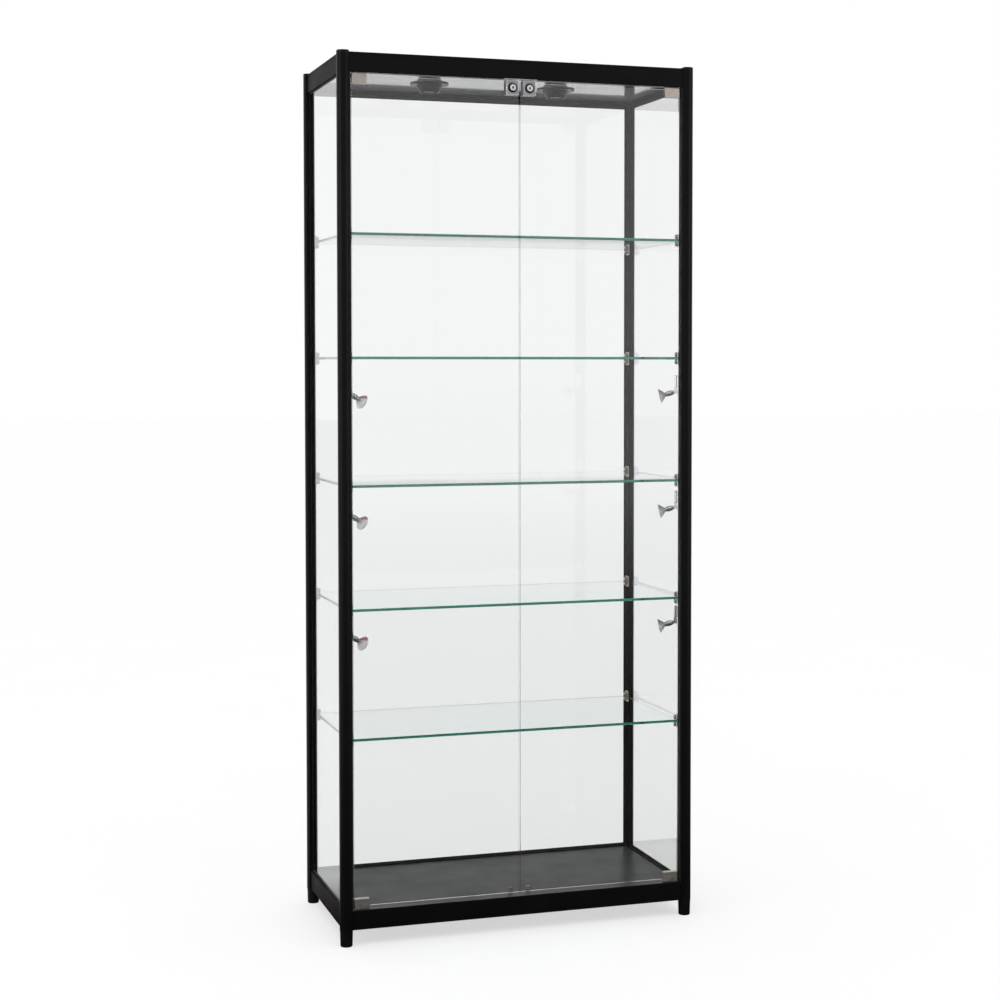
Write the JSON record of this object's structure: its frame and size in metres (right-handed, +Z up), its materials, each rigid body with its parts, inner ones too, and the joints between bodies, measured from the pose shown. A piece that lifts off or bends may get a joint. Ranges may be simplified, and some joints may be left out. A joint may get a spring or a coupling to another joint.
{
  "type": "display case",
  "caption": "Tall free-standing glass display case with round-cornered black aluminium frame, glass shelves, two hinged glass doors with locks, ceiling lights and swivelling spot lamps.",
  "frame": {"origin": "centre of the footprint on the floor", "axes": "+Z up; the doors face -Y; +X is to the right of someone facing the doors"},
  "size_m": [0.84, 0.4, 1.98],
  "materials": {
    "black_anodised": "satin black anodised",
    "black_plastic": "satin moulded",
    "aluminium_plugs": "mill",
    "floor_laminate": "satin dark grey laminate",
    "ceiling_laminate": "glossy grey laminate",
    "clear_glass": "clear float glass",
    "shelf_glass": "clear glass with green edges",
    "black_rubber": "matt",
    "grey_rubber": "matt",
    "brushed_nickel": "brushed nickel",
    "chrome": "polished",
    "bush_bronze": "plain",
    "clear_plastic": "clear soft plastic",
    "lamp_black": "satin dark grey",
    "lens": "frosted",
    "lead_sheath": "matt"
  },
  "bodies": {
    "cabinet": {"front_left_post": "black_anodised", "front_right_post": "black_anodised", "rear_left_post": "black_anodised", "rear_right_post": "black_anodised", "bottom_front_rail": "black_anodised", "bottom_rear_rail": "black_anodised", "bottom_left_rail": "black_anodised", "bottom_right_rail": "black_anodised", "top_front_rail": "black_anodised", "top_rear_rail": "black_anodised", "top_left_rail": "black_anodised", "top_right_rail": "black_anodised", "post_caps": "black_plastic", "feet": "black_plastic", "cable_gland": "black_plastic", "lighting_driver": "black_plastic", "rail_end_plugs": "aluminium_plugs", "floor_panel": "floor_laminate", "ceiling_panel": "ceiling_laminate", "left_side_glass": "clear_glass", "right_side_glass": "clear_glass", "back_glass": "clear_glass", "glass_gaskets": "black_rubber", "door_jamb_seals": "black_rubber", "shelf_1": "shelf_glass", "shelf_2": "shelf_glass", "shelf_3": "shelf_glass", "shelf_4": "shelf_glass", "shelf_5": "shelf_glass", "shelf_clamps": "brushed_nickel", "strike_plate": "brushed_nickel", "clamp_pads": "grey_rubber", "hinge_bushes": "bush_bronze", "door_bumpers": "clear_plastic", "spot_brackets": "chrome", "ceiling_light_housings": "lamp_black", "ceiling_light_lenses": "lens", "supply_leads": "lead_sheath"},
    "left_door": {"left_door_glass": "clear_glass", "left_door_clamps": "brushed_nickel", "left_lock_body": "chrome"},
    "left_lock_plug": {"left_lock_cylinder": "chrome"},
    "left_bolt": {"left_lock_bolt": "chrome"},
    "right_door": {"right_door_glass": "clear_glass", "right_door_clamps": "brushed_nickel", "right_lock_body": "chrome"},
    "right_lock_plug": {"right_lock_cylinder": "chrome"},
    "right_bolt": {"right_lock_bolt": "chrome"},
    "spot_1_swivel": {"spot_1_arm": "chrome"},
    "spot_1_lamp": {"spot_1_head": "chrome"},
    "spot_2_swivel": {"spot_2_arm": "chrome"},
    "spot_2_lamp": {"spot_2_head": "chrome"},
    "spot_3_swivel": {"spot_3_arm": "chrome"},
    "spot_3_lamp": {"spot_3_head": "chrome"},
    "spot_4_swivel": {"spot_4_arm": "chrome"},
    "spot_4_lamp": {"spot_4_head": "chrome"},
    "spot_5_swivel": {"spot_5_arm": "chrome"},
    "spot_5_lamp": {"spot_5_head": "chrome"},
    "spot_6_swivel": {"spot_6_arm": "chrome"},
    "spot_6_lamp": {"spot_6_head": "chrome"}
  },
  "joints": [
    {"name": "left_door_hinge", "type": "hinge", "parent": "cabinet", "child": "left_door", "pos_m": [-0.378, -0.181, 0.08], "axis": [0, 0, -1], "range_deg": [0, 100]},
    {"name": "left_lock_turn", "type": "hinge", "parent": "left_door", "child": "left_lock_plug", "pos_m": [-0.02, -0.1955, 1.91425], "axis": [0, -1, 0], "range_deg": [0, 90]},
    {"name": "left_bolt_slide", "type": "slide", "parent": "left_door", "child": "left_bolt", "axis": [0, 0, 1], "range_m": [0, 0.00785]},
    {"name": "right_door_hinge", "type": "hinge", "parent": "cabinet", "child": "right_door", "pos_m": [0.378, -0.181, 0.08], "axis": [0, 0, 1], "range_deg": [0, 100]},
    {"name": "right_lock_turn", "type": "hinge", "parent": "right_door", "child": "right_lock_plug", "pos_m": [0.02, -0.1955, 1.91425], "axis": [0, -1, 0], "range_deg": [0, 90]},
    {"name": "right_bolt_slide", "type": "slide", "parent": "right_door", "child": "right_bolt", "axis": [0, 0, 1], "range_m": [0, 0.00785]},
    {"name": "spot_1_swivel", "type": "hinge", "parent": "cabinet", "child": "spot_1_swivel", "pos_m": [-0.3888, -0.164, 1.24], "axis": [0, 0, 1], "range_deg": [-15, 45]},
    {"name": "spot_1_tilt", "type": "hinge", "parent": "spot_1_swivel", "child": "spot_1_lamp", "pos_m": [-0.3888, -0.164, 1.23], "axis": [-0.4067, 0.9135, 0], "range_deg": [-25, 45]},
    {"name": "spot_2_swivel", "type": "hinge", "parent": "cabinet", "child": "spot_2_swivel", "pos_m": [-0.3888, -0.164, 0.97], "axis": [0, 0, 1], "range_deg": [-15, 45]},
    {"name": "spot_2_tilt", "type": "hinge", "parent": "spot_2_swivel", "child": "spot_2_lamp", "pos_m": [-0.3888, -0.164, 0.96], "axis": [-0.4067, 0.9135, 0], "range_deg": [-25, 45]},
    {"name": "spot_3_swivel", "type": "hinge", "parent": "cabinet", "child": "spot_3_swivel", "pos_m": [-0.3888, -0.164, 0.7], "axis": [0, 0, 1], "range_deg": [-15, 45]},
    {"name": "spot_3_tilt", "type": "hinge", "parent": "spot_3_swivel", "child": "spot_3_lamp", "pos_m": [-0.3888, -0.164, 0.69], "axis": [-0.4067, 0.9135, 0], "range_deg": [-25, 45]},
    {"name": "spot_4_swivel", "type": "hinge", "parent": "cabinet", "child": "spot_4_swivel", "pos_m": [0.3888, -0.164, 1.24], "axis": [0, 0, -1], "range_deg": [-15, 45]},
    {"name": "spot_4_tilt", "type": "hinge", "parent": "spot_4_swivel", "child": "spot_4_lamp", "pos_m": [0.3888, -0.164, 1.23], "axis": [-0.4067, -0.9135, 0], "range_deg": [-10, 60]},
    {"name": "spot_5_swivel", "type": "hinge", "parent": "cabinet", "child": "spot_5_swivel", "pos_m": [0.3888, -0.164, 0.97], "axis": [0, 0, -1], "range_deg": [-15, 45]},
    {"name": "spot_5_tilt", "type": "hinge", "parent": "spot_5_swivel", "child": "spot_5_lamp", "pos_m": [0.3888, -0.164, 0.96], "axis": [-0.4067, -0.9135, 0], "range_deg": [-10, 60]},
    {"name": "spot_6_swivel", "type": "hinge", "parent": "cabinet", "child": "spot_6_swivel", "pos_m": [0.3888, -0.164, 0.7], "axis": [0, 0, -1], "range_deg": [-15, 45]},
    {"name": "spot_6_tilt", "type": "hinge", "parent": "spot_6_swivel", "child": "spot_6_lamp", "pos_m": [0.3888, -0.164, 0.69], "axis": [-0.4067, -0.9135, 0], "range_deg": [-10, 60]}
  ],
  "couplings": [
    {"joint": "left_lock_turn", "follows": "left_bolt_slide", "rad_per_m": 200.1},
    {"joint": "right_lock_turn", "follows": "right_bolt_slide", "rad_per_m": 200.1}
  ]
}
